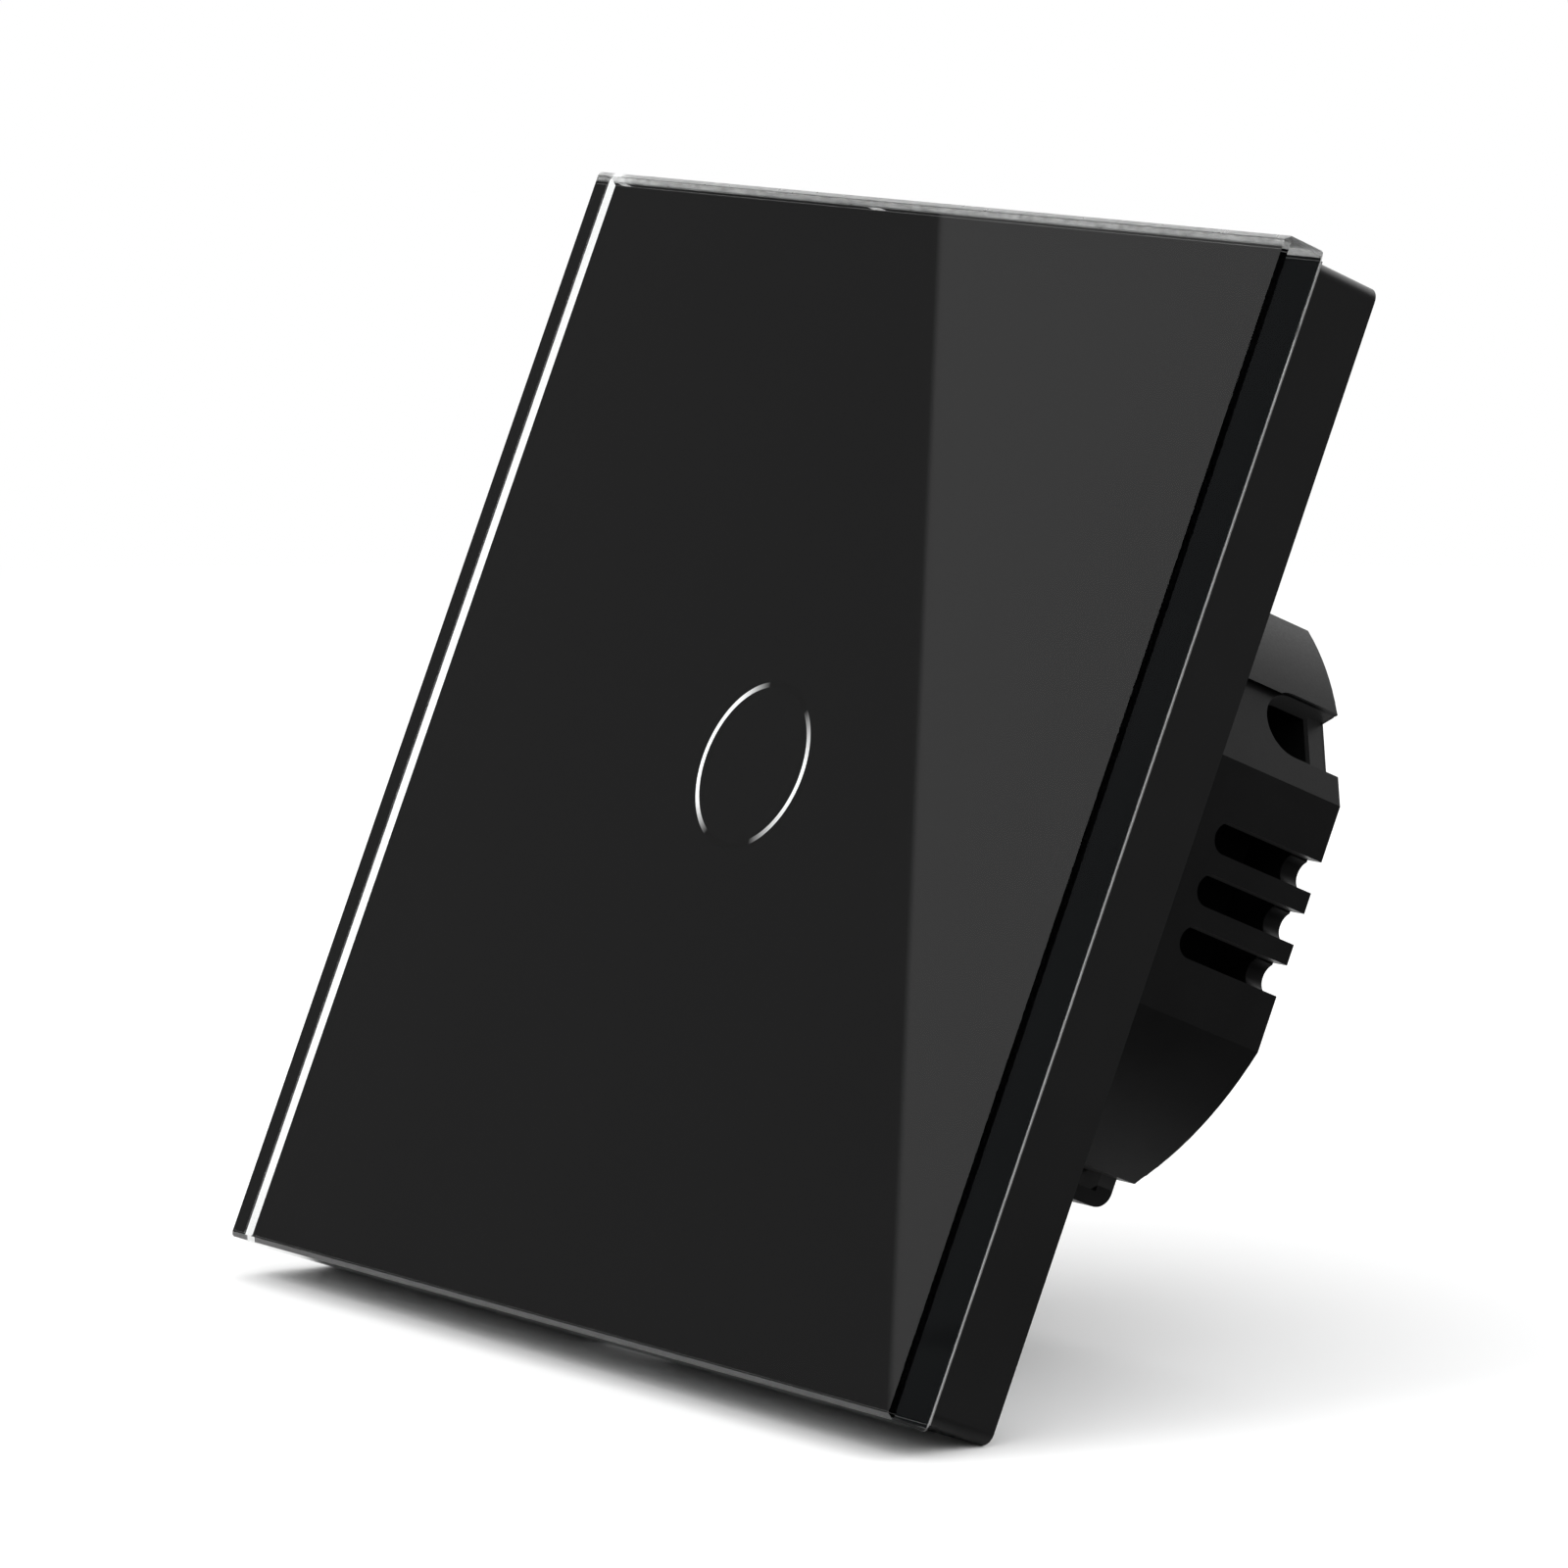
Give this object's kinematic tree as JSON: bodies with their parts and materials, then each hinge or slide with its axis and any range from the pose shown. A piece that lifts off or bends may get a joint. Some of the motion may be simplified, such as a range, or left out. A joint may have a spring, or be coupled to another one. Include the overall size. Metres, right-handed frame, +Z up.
{
  "type": "touch light switch",
  "caption": "Wall touch switch: square black glass panel on a snap frame over a steel mounting plate, with a round-sided switch module behind it.",
  "frame": {"origin": "middle of the box screw pattern, in the plane where the plate and the frame meet the wall", "axes": "X to the right seen from the front, +Y into the wall, +Z up"},
  "size_m": [0.08, 0.0328, 0.08],
  "materials": {
    "panel_glass": "polished, clear",
    "black_print": "black print under glass",
    "silver_print": "silver ink",
    "tape": "foam tape",
    "frame_plastic": "satin black",
    "housing_plastic": "fine matt texture, black",
    "plate_steel": "zinc plated",
    "screw_steel": "zinc plated",
    "light_plastic": "milky",
    "circuit_board": "green solder mask",
    "lamp_resin": "clear resin",
    "chip_resin": "moulded black resin",
    "contact_metal": "silver plated",
    "brass": "plain",
    "terminal_plastic": "black",
    "part_coating": "dipped coating",
    "aluminium_can": "drawn",
    "ferrite": "sintered",
    "copper_wire": "enamelled copper",
    "relay_plastic": "black",
    "clamp_metal": "zinc plated"
  },
  "bodies": {
    "module": {"mount_plate": "plate_steel", "front_cover": "housing_plastic", "cover_screws": "screw_steel", "light_ring": "light_plastic", "touch_board": "circuit_board", "touch_screws": "screw_steel", "status_lamps": "lamp_resin", "touch_chip": "chip_resin", "small_chips": "chip_resin", "touch_spring": "contact_metal", "touch_pad": "contact_metal", "header_base": "chip_resin", "header_pins": "brass", "board_socket": "chip_resin", "rear_housing": "housing_plastic", "power_board": "circuit_board", "board_screws": "screw_steel", "terminal_body": "terminal_plastic", "busbars": "brass", "film_capacitor": "part_coating", "can_capacitor": "aluminium_can", "varistor": "part_coating", "fuse": "chip_resin", "choke_core": "ferrite", "choke_winding": "copper_wire", "rectifier": "chip_resin", "control_chip": "chip_resin", "resistors": "part_coating", "relay_base": "relay_plastic", "relay_cover": "relay_plastic", "relay_bobbin": "relay_plastic", "relay_winding": "copper_wire", "relay_core": "plate_steel", "relay_yoke": "plate_steel", "fixed_contact": "contact_metal"},
    "panel": {"glass_panel": "panel_glass", "ink_film": "black_print", "ring_mark": "silver_print", "bond_tape": "tape", "panel_frame": "frame_plastic"},
    "armature": {"relay_armature": "plate_steel", "relay_blade": "copper_wire", "moving_contact": "contact_metal"},
    "clamp_screw_1": {"terminal_screw_1": "screw_steel"},
    "clamp_cage_1": {"terminal_cage_1": "clamp_metal"},
    "clamp_screw_2": {"terminal_screw_2": "screw_steel"},
    "clamp_cage_2": {"terminal_cage_2": "clamp_metal"},
    "clamp_screw_3": {"terminal_screw_3": "screw_steel"},
    "clamp_cage_3": {"terminal_cage_3": "clamp_metal"}
  },
  "joints": [
    {"name": "panel_pull", "type": "slide", "parent": "module", "child": "panel", "axis": [0, -1, 0], "range_m": [0, 0.012]},
    {"name": "armature_tip", "type": "hinge", "parent": "module", "child": "armature", "pos_m": [-0.00975, 0.0185, -0.00095], "axis": [-1, 0, 0], "range_deg": [0, 4], "stiffness_Nm_per_rad": 0.005, "springref_deg": -5.73},
    {"name": "clamp_screw_turn_1", "type": "hinge", "parent": "module", "child": "clamp_screw_1", "pos_m": [-0.008, 0.0177, 0.0155], "axis": [0, 0, -1], "range_deg": [0, 1728]},
    {"name": "clamp_cage_rise_1", "type": "slide", "parent": "module", "child": "clamp_cage_1", "axis": [0, 0, 1], "range_m": [0, 0.0024]},
    {"name": "clamp_screw_turn_2", "type": "hinge", "parent": "module", "child": "clamp_screw_2", "pos_m": [0, 0.0177, 0.0155], "axis": [0, 0, -1], "range_deg": [0, 1728]},
    {"name": "clamp_cage_rise_2", "type": "slide", "parent": "module", "child": "clamp_cage_2", "axis": [0, 0, 1], "range_m": [0, 0.0024]},
    {"name": "clamp_screw_turn_3", "type": "hinge", "parent": "module", "child": "clamp_screw_3", "pos_m": [0.008, 0.0177, 0.0155], "axis": [0, 0, -1], "range_deg": [0, 1728]},
    {"name": "clamp_cage_rise_3", "type": "slide", "parent": "module", "child": "clamp_cage_3", "axis": [0, 0, 1], "range_m": [0, 0.0024]}
  ],
  "couplings": [
    {"joint": "clamp_screw_turn_1", "follows": "clamp_cage_rise_1", "rad_per_m": 12566},
    {"joint": "clamp_screw_turn_2", "follows": "clamp_cage_rise_2", "rad_per_m": 12566},
    {"joint": "clamp_screw_turn_3", "follows": "clamp_cage_rise_3", "rad_per_m": 12566}
  ]
}
